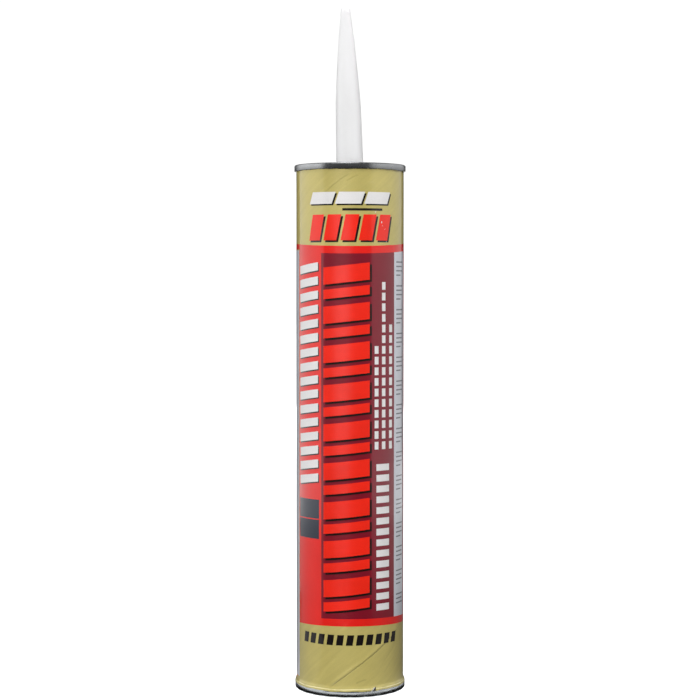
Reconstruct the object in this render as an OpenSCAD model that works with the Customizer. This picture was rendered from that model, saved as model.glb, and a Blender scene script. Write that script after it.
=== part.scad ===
// Large construction adhesive cartridge: a fibre tube with a seamed tinplate end and a plastic
// nozzle on top, a crimped steel ring around its open foot, and a piston behind the paste.
// Millimetres. The origin is the centre of the ring's foot, +Z runs up the tube to the nozzle,
// and the front of the label faces -Y. Label angles are degrees from the front, positive to +X.

/* [Tube] */
// Bore of the fibre tube
tube_bore = 62; // [50:0.5:80]
// Wall of the fibre tube
tube_wall = 1.2; // [0.9:0.1:2]
// Height of the body, from the foot of the ring to the top of the seam
body_h = 316; // [220:1:420]

/* [Tinplate end and ring] */
// Thickness of the sheet that the end and the ring are pressed from
tin_t = 0.3; // [0.2:0.05:0.4]
// Outside radius of the sheet's bends at the seam and at the foot
bend = 0.9; // [0.8:0.05:1]
// Gap inside the fold of the seam's hook
fold_gap = 0.3; // [0.2:0.05:0.8]
// Height of the seam
seam_h = 3.8; // [3.4:0.1:6]
// Depth of the panel below the top of the seam
panel_depth = 3.5; // [2.5:0.1:8]
// Depth of the groove around the panel
groove_depth = 1.2; // [0.6:0.1:2]
// Width of the groove around the panel
groove_w = 2.2; // [1.8:0.1:5]
// Height of the boss around the hole in the panel
boss_h = 1; // [0.6:0.1:2]
// Distance that the ring stands out past the tube
ring_step = 1.1; // [1:0.05:1.6]
// Height of the ring's straight outer wall
ring_wall_h = 3.4; // [2:0.1:5]
// Height of the ring, with the slope that is crimped in onto the tube
ring_h = 5.4; // [5:0.1:9]
// Height of the ring's inner wall
ring_in_h = 6; // [3:0.1:12]

/* [Nozzle] */
// Diameter of the nozzle at its collar
nozzle_d = 16.4; // [12:0.1:24]
// Height of the nozzle's straighter lower part above the seam
nozzle_low_h = 38; // [20:1:60]
// Diameter where the lower part meets the cone
nozzle_mid_d = 15; // [10:0.1:22]
// Height of the cone, up to the tip
nozzle_cone_h = 57; // [30:1:90]
// Diameter of the tip
nozzle_tip_d = 5.4; // [4.5:0.1:9]
// Wall of the nozzle
nozzle_wall = 1.5; // [1:0.1:1.8]
// Lean of the spout towards -X, in degrees
nozzle_lean = 1.6; // [0:0.1:2]
// Diameter of the flange under the panel
flange_d = 26; // [24:0.5:36]
// Thickness of the flange
flange_t = 1.5; // [1:0.1:3]
// Thickness of the seal under the flange
seal_t = 0.2; // [0.1:0.05:0.5]

/* [Piston and charge] */
// Depth of the piston's rear edge in the tube
piston_recess = 17.5; // [10:0.5:60]
// Length of the piston
piston_len = 18; // [12:0.5:40]
// Wall of the piston's skirt
skirt_t = 1.6; // [1:0.1:3]
// Thickness of the piston's crown
crown_t = 2; // [1.2:0.1:4]
// Height of each wiping lip
lip_h = 2.6; // [1.5:0.1:4]
// Depth of the waist between the lips
waist = 0.6; // [0.2:0.05:1]
// Running clearance of the piston in the bore
piston_gap = 0.05; // [0.02:0.01:0.1]
// Height of the stiffening ribs behind the crown
rib_h = 2.5; // [1:0.1:5]
// Thickness of the stiffening ribs
rib_t = 1.4; // [0.8:0.1:2.5]

/* [Label] */
// Thickness of the label paper
label_t = 0.15; // [0.1:0.01:0.2]
// Thickness of one printed layer
ink_t = 0.1; // [0.06:0.01:0.12]
// Height of the label's lower edge, on the ring
label_foot = 3.8; // [3.4:0.1:4.6]
// Width of the glued lap
lap_w = 6; // [3:0.5:12]
// Gold band between the seam and the red field
gold_top_h = 43; // [30:1:60]
// Gold band between the foot and the red field
gold_low_h = 40.4; // [25:0.2:60]
// Red border above and below the dark panel
border_h = 4.4; // [2:0.1:10]
// Bow of the field edges at the front, in degrees
bow = 3.7; // [0:0.1:6]
// Pairs of bars, one thick and one thin, in the bright column on the dark panel
block_n = 9; // [5:1:12]
// Bars in the pale column beside the dark panel
bar_n = 16; // [8:1:20]
// Slanted bright bars on the upper gold band
badge_n = 5; // [3:1:6]
// Slanted dark bars on the lower gold band
row_n = 11; // [5:1:12]

/* [Hidden] */
$fn = 96;
// Clearance of parts that are crimped or glued together
fit_gap = 0.05;
// Depth that a joined shape runs into its neighbour
overlap = 1;
// Straight segments in each rounded corner
arc_steps = 4;
bore_r = tube_bore / 2;
tube_r = bore_r + tube_wall;
label_r = tube_r + label_t;

// Seam and panel
seam_z = body_h - seam_h;
chuck_r = bore_r - fit_gap - tin_t;
hook_r = label_r + max(label_t, 2 * ink_t) + fit_gap;
hook_h = 1.5;
seam_r = hook_r + 2 * tin_t + fold_gap;
fold_bend = (seam_r - hook_r) / 2.02;
lip_round = bend - tin_t - fit_gap;
lip_r = seam_r - tin_t - fit_gap;
lip_top = body_h - tin_t - fit_gap;
lip_z = seam_z + hook_h + fit_gap;
panel_z = body_h - panel_depth;
groove_z = panel_z - groove_depth;
panel_r = chuck_r - groove_w;
panel_bend = 0.6;
groove_slope = 0.5;
hole_step = 0.4;
hole_r = nozzle_d / 2 + hole_step;
boss_land = 2.2;
boss_r = hole_r + boss_land;
boss_slope = 1.4;

// Ring
ring_r = tube_r + ring_step;
ring_top_r = tube_r + fit_gap + tin_t;
foot_lip_r = ring_r - tin_t - fit_gap;
foot_lip_z = tin_t + fit_gap;
crimp_drop = 0.2;

// Nozzle, with its spout leaning about the middle of the hole
boss_z = panel_z + boss_h;
snap_step = 0.9;
snap_r = hole_r + snap_step;
snap_h = 1.2;
tip_round = 0.8;
tip_flare = 0.3;
nub_r = 1.05;
nub_h = 0.9;
spout_z = boss_z + snap_h;
low_z = body_h + nozzle_low_h;
tip_z = low_z + nozzle_cone_h;
flange_r = flange_d / 2;
flange_z = panel_z - tin_t - fit_gap - flange_t;
seal_inset = 1;
seal_r = flange_r - seal_inset;

// Piston and charge
piston_r = bore_r - piston_gap;
piston_z = piston_recess;
crown_z = piston_z + piston_len;
charge_top = min(flange_z - seal_t, groove_z - tin_t) - fit_gap;
crown_edge = 0.8;
crown_fillet = 1;
rib_n = 8;
hub_r = 6;

// Label angles
front_left = -69;
front_right = 54;
strip_right = 79;
back_left = 88;
dark_left = -31.7;
lap_left = front_left - lap_w / label_r * 180 / PI;
stamp_depth = 10;
reach = seam_r + stamp_depth;
stamp_from = label_r - stamp_depth / 2;

// Heights of the printed fields
print_gap = 1.2;
print_z = ring_h + print_gap;
field_low = gold_low_h;
field_top = seam_z - gold_top_h;
dark_low = field_low + border_h;
dark_top = field_top - border_h;
back_rise = 2;
back_low = print_z + back_rise;

// Columns of bars on the dark panel and beside it
column_foot = 5.2;
column_head = 6.6;
column_low = dark_low + column_foot;
column_top = dark_top - column_head;
column_h = column_top - column_low;

// Bright column: a thick and a thin bar at each step
block_pitch = column_h / block_n;
block_w = 27.4;
block_skew = 3;
block_angle = -4;
thick_h = block_pitch * 0.44;
thin_h = block_pitch * 0.24;
block_gap = block_pitch * 0.13;
block_shade = 1.2;

// Pale column at the left, and the two plain boxes under it
bar_pitch = column_h * 0.64 / bar_n;
bar_w = 17;
bar_h = bar_pitch * 0.58;
bar_skew = 2.4;
bar_angle = -51;
bar_shade = 0.7;
box_w = 18.4;
box_h = 11.4;
box_pitch = 12;
box_z = column_low + column_h * 0.237;

// Pale column at the right, and the three dashed lines over it
side_n = 14;
side_pitch = column_h * 0.43 / side_n;
side_w = 9.5;
side_h = side_pitch * 0.62;
side_angle = 37.3;
dash_columns = [[29, 10], [38, 16], [48, 12]];
dash_pitch = column_h * 0.0302;
dash_w = 2.6;
dash_h = dash_pitch * 0.72;
dash_low = column_low + column_h * 0.462;

// Upper gold band: bright bars, a thin rule and a row of pale bars, one over the other
badge_pitch = 19;
badge_w = 8.2;
badge_h = 15.2;
badge_slant = 3;
badge_shade = 1.1;
badge_gap = 1.2;
badge_z = field_top + badge_gap + badge_h / 2;
rule_gap = 2.2;
rule_z = badge_z + badge_h / 2 + rule_gap;
rule_h = 1.4;
rule_left = -8;
rule_right = 36;
title_n = 3;
title_pitch = 31;
title_w = 15.4;
title_h = 7;
title_slant = 2.4;
title_shade = 0.9;
title_gap = 2.6;
title_z = rule_z + rule_h + title_gap + title_h / 2;

// Lower gold band: a row of dark bars
row_pitch = 10.6;
row_w = 4;
row_h = 6.2;
row_slant = 1;
row_gap = 3.1;
row_z = field_low - row_gap - row_h / 2;

function unit(v) = v / norm(v);
function turned(v, a) = [v[0] * cos(a) - v[1] * sin(a), v[0] * sin(a) + v[1] * cos(a)];

// Arc of radius r that rounds the corner b between a and c
function corner(a, b, c, r) = r == 0 ? [b] :
    let (u = unit(a - b), v = unit(c - b), half = acos(u * v) / 2)
    let (centre = b + unit(u + v) * r / sin(half), start = b + u * r / tan(half) - centre)
    let (turn = (cross(u, v) < 0 ? 1 : -1) * (180 - 2 * half))
    [for (i = [0 : arc_steps]) centre + turned(start, turn * i / arc_steps)];

// Path of [x, y, corner radius] points, with its inner corners rounded
function rounded(p) = let (q = [for (k = p) [k[0], k[1]]], last = len(p) - 1)
    [q[0], for (i = [1 : last - 1]) each corner(q[i - 1], q[i], q[i + 1], p[i][2]), q[last]];

// Outline of a sheet of thickness t, laid along the left of a path
function edge_normal(p, i) = turned(unit(p[i + 1] - p[i]), 90);
function miter(a, b) = 2 * (a + b) / ((a + b) * (a + b));
function point_normal(p, i) = i == 0 ? edge_normal(p, 0)
    : i == len(p) - 1 ? edge_normal(p, i - 1)
    : miter(edge_normal(p, i - 1), edge_normal(p, i));
function beside(p, t) = [for (i = [0 : len(p) - 1]) p[i] + t * point_normal(p, i)];
function backwards(p) = [for (i = [len(p) - 1 : -1 : 0]) p[i]];
function sheet(p, t) = concat(p, backwards(beside(p, t)));

// Turned solid of an outline, over the label angles from a to b
module turned_part(outline, a = 0, b = 360) {
    rotate([0, 0, a - 90]) rotate_extrude(angle = b - a) polygon(outline);
}

module fibre_tube() {
    path = rounded([
        [bore_r, body_h / 2, 0],
        [bore_r, foot_lip_z, lip_round],
        [foot_lip_r, foot_lip_z, lip_round],
        [foot_lip_r, ring_wall_h - crimp_drop, 0],
        [tube_r, ring_h - crimp_drop, 0],
        [tube_r, lip_z, 0],
        [lip_r, lip_z, 0],
        [lip_r, lip_top, lip_round],
        [bore_r, lip_top, lip_round],
        [bore_r, body_h / 2 + overlap, 0]
    ]);
    color("burlywood") turned_part(path);
}

module top_end() {
    path = rounded([
        [hole_r, boss_z, 0],
        [boss_r, boss_z, panel_bend],
        [boss_r + boss_slope, panel_z, panel_bend],
        [panel_r, panel_z, panel_bend],
        [panel_r + groove_slope, groove_z, panel_bend / 2],
        [chuck_r, groove_z, panel_bend],
        [chuck_r, body_h, bend],
        [seam_r, body_h, bend],
        [seam_r, seam_z, fold_bend],
        [hook_r, seam_z, fold_bend],
        [hook_r, seam_z + hook_h, 0]
    ]);
    color("silver") turned_part(sheet(path, -tin_t));
}

module bottom_ring() {
    path = rounded([
        [chuck_r, ring_in_h, 0],
        [chuck_r, 0, bend],
        [ring_r, 0, bend],
        [ring_r, ring_wall_h, bend],
        [ring_top_r, ring_h, 0]
    ]);
    color("silver") turned_part(sheet(path, tin_t));
}

// Radius of the ring's outer face at a height above its bend
function ring_face(z) = z <= ring_wall_h ? ring_r
    : ring_r - (ring_r - ring_top_r) * (z - ring_wall_h) / (ring_h - ring_wall_h);

module label() {
    inner_face = [
        [tube_r, lip_z - fit_gap],
        [tube_r, print_z],
        [ring_top_r + fit_gap, ring_h + fit_gap],
        if (label_foot < ring_wall_h) [ring_r + fit_gap, ring_wall_h + fit_gap],
        [ring_face(label_foot) + fit_gap, label_foot]
    ];
    color("darkkhaki") {
        turned_part(sheet(inner_face, label_t));
        turned_part(sheet(beside(inner_face, label_t / 2), label_t * 3 / 2), lap_left, front_left);
    }
}

module nozzle_spout() {
    r = nozzle_d / 2;
    tip_r = nozzle_tip_d / 2;
    outside = rounded([
        [0, boss_z, 0], [r, boss_z, 0], [nozzle_mid_d / 2, low_z, 0],
        [tip_r, tip_z - nub_h, tip_round], [nub_r, tip_z - nub_h, 0], [nub_r, tip_z, nub_r / 2],
        [0, tip_z, 0]
    ]);
    rotate_extrude() polygon(outside);
}

module nozzle_bore() {
    r = nozzle_d / 2 - nozzle_wall;
    inside = [
        [0, flange_z - overlap], [r, flange_z - overlap], [r, boss_z],
        [nozzle_mid_d / 2 - nozzle_wall, low_z],
        [nozzle_tip_d / 2 - nozzle_wall + tip_flare, tip_z - nub_h - 2 * nozzle_wall],
        [0, tip_z - nub_h - 2 * nozzle_wall]
    ];
    rotate_extrude() polygon(inside);
}

// Leans the spout about the hole in the end
module leaning() {
    translate([0, 0, boss_z]) rotate([0, -nozzle_lean, 0]) translate([0, 0, -boss_z]) children();
}

module nozzle() {
    neck_r = hole_r - fit_gap;
    foot = [
        [0, flange_z], [flange_r, flange_z], [flange_r, flange_z + flange_t],
        [neck_r, flange_z + flange_t], [neck_r, boss_z + fit_gap], [snap_r, boss_z + fit_gap],
        [snap_r, boss_z + snap_h / 2], [nozzle_d / 2, boss_z + snap_h + fit_gap], [0, spout_z]
    ];
    color("white") difference() {
        union() {
            rotate_extrude() polygon(foot);
            leaning() nozzle_spout();
        }
        leaning() nozzle_bore();
    }
}

module inner_seal() {
    color("lightgrey") translate([0, 0, flange_z - seal_t]) cylinder(r = seal_r, h = seal_t);
}

module piston() {
    skirt_r = piston_r - skirt_t;
    rear = piston_z;
    outline = [
        [skirt_r, rear], [piston_r, rear], [piston_r, rear + lip_h],
        [piston_r - waist, rear + lip_h + waist], [piston_r - waist, crown_z - lip_h - waist],
        [piston_r, crown_z - lip_h], [piston_r, crown_z - crown_edge],
        [piston_r - crown_edge, crown_z], [0, crown_z], [0, crown_z - crown_t],
        [skirt_r - crown_fillet, crown_z - crown_t], [skirt_r, crown_z - crown_t - crown_fillet]
    ];
    color("ivory") {
        rotate_extrude() polygon(outline);
        intersection() {
            cylinder(r = skirt_r + skirt_t / 2, h = body_h);
            translate([0, 0, crown_z - crown_t - rib_h]) union() {
                cylinder(r = hub_r, h = rib_h + crown_t / 2);
                for (i = [0 : rib_n - 1]) rotate([0, 0, i * 360 / rib_n])
                    translate([0, -rib_t / 2, 0]) cube([bore_r, rib_t, rib_h + crown_t / 2]);
            }
        }
    }
}

module adhesive() {
    color("tan") translate([0, 0, crown_z]) cylinder(r = piston_r, h = charge_top - crown_z);
}

// Skin of one printed layer around the label, raised where the label's ends lap
module ink_skin(layer, rise = 0) {
    inner = label_r + rise + (layer - 1) * ink_t;
    outer = inner + ink_t;
    turned_part([[inner, print_z], [outer, print_z], [outer, seam_z], [inner, seam_z]]);
}

module printed(layer, rise = 0) {
    intersection() {
        ink_skin(layer, rise);
        union() children();
    }
}

// Wedge of the label between two angles, its lower and upper edges bowed at the front
module field(a, b, low, top, tilt = bow) {
    intersection() {
        turned_part([[0, 0], [reach, 0], [reach, body_h], [0, body_h]], a, b);
        translate([0, 0, low]) rotate([-tilt, 0, 0])
            translate([-body_h, -body_h, 0]) cube([2 * body_h, 2 * body_h, body_h]);
        translate([0, 0, top]) rotate([tilt, 0, 0])
            translate([-body_h, -body_h, -body_h]) cube([2 * body_h, 2 * body_h, body_h]);
    }
}

// Flat shape printed through the label at an angle and a height
module stamp(angle, z) {
    translate([0, 0, z]) rotate([0, 0, angle]) rotate([90, 0, 0]) translate([0, 0, stamp_from])
        linear_extrude(reach - stamp_from) children();
}

// Bar of w by h, with its right end raised by skew and its top moved right by slant
module bar(w, h, skew = 0, slant = 0) {
    polygon([
        [-w / 2 - slant / 2, -h / 2 - skew / 2], [w / 2 - slant / 2, -h / 2 + skew / 2],
        [w / 2 + slant / 2, h / 2 + skew / 2], [-w / 2 + slant / 2, h / 2 - skew / 2]
    ]);
}

// Part of a shape's shadow that the shape leaves uncovered
module shade(d) {
    difference() {
        translate([d, -d]) children();
        children();
    }
}

module blocks() {
    for (i = [0 : block_n - 1]) stamp(block_angle, column_low + (i + 0.5) * block_pitch) children();
}

module block() {
    middle = (thin_h + block_gap) / 2;
    translate([0, middle]) bar(block_w, thick_h, block_skew);
    translate([0, middle - (thick_h + thin_h) / 2 - block_gap]) bar(block_w, thin_h, block_skew);
}

module left_column() {
    for (i = [0 : bar_n - 1]) stamp(bar_angle, column_top - (i + 0.5) * bar_pitch) children();
}

module left_bar() {
    bar(bar_w, bar_h, bar_skew);
}

// Row of n shapes around the label, a fixed angle apart
module label_row(n, pitch, z) {
    for (i = [0 : n - 1]) stamp((i - (n - 1) / 2) * pitch, z) children();
}

module badge_bar() {
    bar(badge_w, badge_h, 0, badge_slant);
}

module title_bar() {
    bar(title_w, title_h, 0, title_slant);
}

module dark_window() {
    field(dark_left, strip_right, dark_low, dark_top);
}

module back_window(right = 360 + lap_left) {
    field(back_left, right, back_low, dark_top, 0);
}

module print_red() {
    color("red") {
        printed(1) difference() {
            field(front_left, 360 + lap_left, field_low, field_top);
            dark_window();
            back_window(360 + front_left);
        }
        printed(1, label_t) field(lap_left, front_left, dark_top, field_top);
    }
}

module print_maroon() {
    color("maroon") printed(1) field(dark_left, front_right, dark_low, dark_top);
}

module print_scarlet() {
    color("orangered") {
        printed(2) blocks() block();
        printed(1) label_row(badge_n, badge_pitch, badge_z) badge_bar();
    }
}

module print_black() {
    color("black") {
        printed(2) {
            blocks() shade(block_shade) block();
            left_column() shade(bar_shade) left_bar();
        }
        printed(1) {
            label_row(badge_n, badge_pitch, badge_z) shade(badge_shade) badge_bar();
            label_row(title_n, title_pitch, title_z) shade(title_shade) title_bar();
            label_row(row_n, row_pitch, row_z) bar(row_w, row_h, 0, row_slant);
            field(rule_left, rule_right, rule_z, rule_z + rule_h, 0);
        }
    }
}

module print_white() {
    color("white") {
        printed(1) label_row(title_n, title_pitch, title_z) title_bar();
        printed(2) {
            left_column() left_bar();
            for (i = [0 : side_n - 1])
                stamp(side_angle, column_low + (i + 0.5) * side_pitch) bar(side_w, side_h);
            for (column = dash_columns, i = [0 : column[1] - 1])
                stamp(column[0], dash_low + (i + 0.5) * dash_pitch) bar(dash_w, dash_h);
        }
    }
}

module print_navy() {
    color("midnightblue") printed(2) for (i = [0, 1])
        stamp(bar_angle, box_z + i * box_pitch) bar(box_w, box_h);
}

module print_back() {
    color("whitesmoke") {
        printed(1) {
            field(front_right, strip_right, dark_low, dark_top);
            back_window();
        }
        printed(1, label_t) field(lap_left, front_left, back_low, dark_top, 0);
    }
}

fibre_tube();
label();
top_end();
bottom_ring();
nozzle();
inner_seal();
piston();
adhesive();
print_red();
print_maroon();
print_scarlet();
print_black();
print_white();
print_navy();
print_back();
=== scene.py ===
"""Looks of the construction adhesive cartridge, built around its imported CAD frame.

Lengths are in millimetres until a mesh is made. Label angles are degrees from the front (-Y),
positive towards +X, as in the part's source.
"""
import math

import bmesh
import bpy
import numpy as np
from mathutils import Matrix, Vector, kdtree
from mathutils.geometry import delaunay_2d_cdt


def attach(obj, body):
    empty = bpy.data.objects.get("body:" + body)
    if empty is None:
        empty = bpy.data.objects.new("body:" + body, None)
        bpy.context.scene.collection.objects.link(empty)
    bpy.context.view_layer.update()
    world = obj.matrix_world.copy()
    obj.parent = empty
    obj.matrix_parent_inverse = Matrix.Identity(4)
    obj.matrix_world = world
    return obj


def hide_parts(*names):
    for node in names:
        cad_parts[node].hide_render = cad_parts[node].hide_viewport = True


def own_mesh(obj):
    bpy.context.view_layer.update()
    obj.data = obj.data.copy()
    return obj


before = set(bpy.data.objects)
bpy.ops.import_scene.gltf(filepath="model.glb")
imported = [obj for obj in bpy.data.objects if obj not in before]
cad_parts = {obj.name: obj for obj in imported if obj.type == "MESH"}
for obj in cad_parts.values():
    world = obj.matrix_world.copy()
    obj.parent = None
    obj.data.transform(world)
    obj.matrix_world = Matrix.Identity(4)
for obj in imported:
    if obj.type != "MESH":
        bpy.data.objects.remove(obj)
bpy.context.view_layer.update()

MM = 0.001
CARTRIDGE, PISTON = "cartridge", "piston"

# Main sizes, as the part's source gives them
BORE_R, TUBE_R, LABEL_R = 31.0, 32.2, 32.35
LABEL_T = 0.15
BODY_H = 316.0
SEAM_Z, SEAM_R, HOOK_R, HOOK_H = 312.2, 33.5, 32.6, 1.5
TIN_T = 0.3
CHUCK_R = 30.65
PANEL_Z, GROOVE_Z, PANEL_R = 312.5, 311.3, 28.45
HOLE_R, BOSS_R, BOSS_Z = 8.6, 10.8, 313.5
RING_R, RING_TOP_R, RING_WALL_H, RING_H, RING_IN_H = 33.3, 32.55, 3.4, 5.4, 6.0
LABEL_FOOT, LABEL_TOP = 3.8, 313.6
TIP_Z, LEAN = 411.0, 1.6
PISTON_R, PISTON_Z, CROWN_Z, CHARGE_TOP = 30.95, 17.5, 35.5, 310.4
EDGE_BEND = 0.9  # radius of the sheet metal's outer bends

# Label angles and the heights of the printed fields
FRONT_LEFT, FRONT_RIGHT, STRIP_RIGHT, BACK_LEFT = -69.0, 54.0, 79.0, 88.0
DARK_LEFT, LAP_LEFT = -31.7, -79.63
LABEL_END = 360 + FRONT_LEFT
LAP_FROM, LAP_RISE = 275, 6  # where the label starts to climb over its own lap, and over how much
NAME_AT, LEFT_AT, RIGHT_AT = -4, -51, 37.3  # angles of the print's main columns
FIELD_LOW, FIELD_TOP = 40.4, 269.2
DARK_LOW, DARK_TOP, BACK_LOW = 44.8, 264.8, 8.6
BOW = 3.7  # slope, in degrees, of the sight line that bows the fields' borders
NOTCH = 25.0  # angle of the notch in the label's lower edge, drawn as a black patch of painted shadow
DEG = LABEL_R * math.pi / 180  # millimetres round the label for each degree
INK_T = 0.05
OUTLINE_GAP = 0.22  # grid points nearer than this to an outline are left out
WIND_ANGLE = 38.0  # slope of the wound paper's streaks
HIGHLIGHT_Z, HIGHLIGHT_HALF = 4.9, 0.28  # height and half width of the painted highlight line at the foot
SEAM_SHADE_H = 2.4  # height of the painted shade at the seam's lower edge
WINDING = 46.0  # rise of the tube's wound joint in one turn


# Meshes
def make_piece(name, verts, faces, body, material, slot, replaces=(), sharp=35.0, recalc=True):
    """A mesh object from points in millimetres, on a CAD body."""
    mesh = bpy.data.meshes.new(name)
    mesh.from_pydata((np.asarray(verts, float) * MM).tolist(), [], [list(f) for f in faces])
    if recalc:
        work = bmesh.new()
        work.from_mesh(mesh)
        bmesh.ops.recalc_face_normals(work, faces=work.faces)
        work.to_mesh(mesh)
        work.free()
    mesh.update()
    mesh.shade_smooth()
    mesh.set_sharp_from_angle(angle=math.radians(sharp))
    piece = bpy.data.objects.new(name, mesh)
    bpy.context.scene.collection.objects.link(piece)
    mesh.materials.append(material)
    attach(piece, body)
    if replaces:
        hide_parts(*replaces)
    return piece


def lathe(profile, n=192, warp=None):
    """Points and faces of a closed profile of (radius, height) turned about Z."""
    verts, rings = [], []
    for r, z in profile:
        if r < 1e-6:
            rings.append([len(verts)])
            verts.append((0.0, 0.0, z))
        else:
            rings.append(list(range(len(verts), len(verts) + n)))
            verts += [(r * math.cos(2 * math.pi * i / n), r * math.sin(2 * math.pi * i / n), z)
                      for i in range(n)]
    faces = []
    for a, b in zip(rings, rings[1:] + rings[:1]):
        if len(a) == 1 and len(b) == 1:
            continue
        for i in range(n):
            j = (i + 1) % n
            if len(a) == 1:
                faces.append((a[0], b[i], b[j]))
            elif len(b) == 1:
                faces.append((a[i], a[j], b[0]))
            else:
                faces.append((a[i], a[j], b[j], b[i]))
    verts = np.array(verts)
    return (warp(verts) if warp else verts), faces


def rounded(path, steps=7):
    """Path of (x, y, corner radius) with its inner corners rounded."""
    out = [np.array(path[0][:2], float)]
    for k in range(1, len(path) - 1):
        a, b, c = (np.array(path[i][:2], float) for i in (k - 1, k, k + 1))
        r = path[k][2]
        if r == 0:
            out.append(b)
            continue
        u, v = (a - b) / np.linalg.norm(a - b), (c - b) / np.linalg.norm(c - b)
        half = math.acos(np.clip(u @ v, -1, 1)) / 2
        centre = b + (u + v) / np.linalg.norm(u + v) * r / math.sin(half)
        start = b + u * r / math.tan(half) - centre
        turn = (1 if u[0] * v[1] - u[1] * v[0] < 0 else -1) * (math.pi - 2 * half)
        for i in range(steps + 1):
            t = turn * i / steps
            out.append(centre + np.array([start[0] * math.cos(t) - start[1] * math.sin(t),
                                          start[0] * math.sin(t) + start[1] * math.cos(t)]))
    out.append(np.array(path[-1][:2], float))
    return np.array(out)


def beside(path, t):
    """Path moved by t to its left."""
    d = np.diff(path, axis=0)
    normal = np.c_[-d[:, 1], d[:, 0]] / np.linalg.norm(d, axis=1)[:, None]
    sums = normal[:-1] + normal[1:]
    inner = 2 * sums / (sums * sums).sum(1)[:, None]
    return path + t * np.vstack([normal[:1], inner, normal[-1:]])


def sheet_profile(path, t):
    """Closed profile of a sheet of thickness t along a path."""
    return np.vstack([path, beside(path, t)[::-1]])


def smooth_step(x):
    """0 below 0, 1 above 1, and a smooth rise between."""
    x = np.clip(x, 0, 1)
    return x * x * (3 - 2 * x)


def polar(v):
    """Angle and radius of each point around the axis."""
    return np.arctan2(v[:, 1], v[:, 0]), np.hypot(v[:, 0], v[:, 1])


def spread(v, k):
    """Points with their distances from the axis multiplied by k."""
    v[:, 0] *= k
    v[:, 1] *= k
    return v


def waves(angle, terms):
    """Sum of sines around the axis: (amplitude, count, phase) each."""
    return sum(a * np.sin(n * angle + p) for a, n, p in terms)


# Materials
class Shader:
    """A Principled material and short ways to add nodes to it."""

    def __init__(self, name):
        self.material = bpy.data.materials.new(name)
        self.material.use_nodes = True
        self.tree = self.material.node_tree
        self.bsdf = self.tree.nodes["Principled BSDF"]
        self.coords = self.tree.nodes.new("ShaderNodeTexCoord").outputs["Object"]

    def put(self, socket, value):
        """Link a socket or set a value."""
        if isinstance(value, bpy.types.NodeSocket):
            self.tree.links.new(value, socket)
        else:
            socket.default_value = value

    def set(self, **values):
        """Set or link inputs of the Principled shader."""
        for key, value in values.items():
            self.put(self.bsdf.inputs[key.replace("_", " ")], value)

    def node(self, kind, out, ins=(), **settings):
        """One output of a new node, with its inputs and settings given."""
        n = self.tree.nodes.new(kind)
        for key, value in settings.items():
            setattr(n, key, value)
        for key, value in dict(ins).items():
            self.put(n.inputs[key], value)
        return n.outputs[out]

    def math(self, operation, a, b=0.0, clamp=False):
        """Result of a Math node."""
        return self.node("ShaderNodeMath", 0, {0: a, 1: b}, operation=operation, use_clamp=clamp)

    def stretched(self, x, y, z):
        """Coordinates scaled along each axis."""
        return self.node("ShaderNodeMapping", 0, {"Vector": self.coords, "Scale": (x, y, z)})

    def axes(self):
        """The coordinates' x, y and z, in metres."""
        split = self.tree.nodes.new("ShaderNodeSeparateXYZ")
        self.put(split.inputs[0], self.coords)
        return tuple(split.outputs)

    def unrolled(self):
        """Millimetres round the label from its front, and millimetres up."""
        x, y, z = self.axes()
        angle = self.math("ARCTAN2", x, self.math("MULTIPLY", y, -1.0))
        return self.math("MULTIPLY", angle, LABEL_R), self.math("DIVIDE", z, MM)

    def noise(self, scale, detail=4.0, rough=0.55, vector=None, distortion=0.0):
        """Noise from 0 to 1, over the object's coordinates unless others are given."""
        return self.node("ShaderNodeTexNoise", "Fac", {
            "Vector": vector or self.coords, "Scale": scale, "Detail": detail,
            "Roughness": rough, "Distortion": distortion})

    def ramp(self, fac, stops):
        """Colour ramp with (place, colour or grey level) stops."""
        n = self.tree.nodes.new("ShaderNodeValToRGB")
        elements = n.color_ramp.elements
        while len(elements) < len(stops):
            elements.new(0.5)
        for e, (place, colour) in zip(elements, stops):
            e.position = place
            e.color = (*colour, 1) if hasattr(colour, "__len__") else (colour, colour, colour, 1)
        self.put(n.inputs[0], fac)
        return n.outputs[0]

    def mix(self, fac, a, b, blend="MIX"):
        """Colour b laid over colour a."""
        n = self.tree.nodes.new("ShaderNodeMix")
        n.data_type, n.blend_type = "RGBA", blend
        self.put(n.inputs[0], fac)
        for socket, value in ((n.inputs[6], a), (n.inputs[7], b)):
            self.put(socket, value if isinstance(value, bpy.types.NodeSocket) else (*value, 1))
        return n.outputs[2]

    def bump(self, height, distance, strength=1.0, below=None):
        """Normal bumped by a height, on top of the normal below."""
        ins = {"Height": height, "Distance": distance, "Strength": strength}
        if below is not None:
            ins["Normal"] = below
        return self.node("ShaderNodeBump", 0, ins)


def srgb(r, g, b):
    """Linear colour of an 8-bit display colour."""
    return tuple(c / 12.92 if c <= 0.04045 else ((c + 0.055) / 1.055) ** 2.4
                 for c in (r / 255, g / 255, b / 255))


def scaled(colour, k):
    """Colour made k times as bright, within range."""
    return tuple(min(1.0, c * k) for c in colour)


COAT_ROUGH, INK_SHINE = 0.11, 0.25
RUB_FADE, RUB_ROUGH = 0.3, 0.12  # how far rubs pale the print, and how much rougher they make it
STREAK_ALONG, STREAK_ACROSS = 0.03, 0.34  # streaks for each millimetre along the winding and across
STREAK_TONE, STREAK_DEPTH = 0.1, 0.00014
HIGHLIGHT_SWAY = 0.9  # how far the painted highlight line wanders in all


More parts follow.
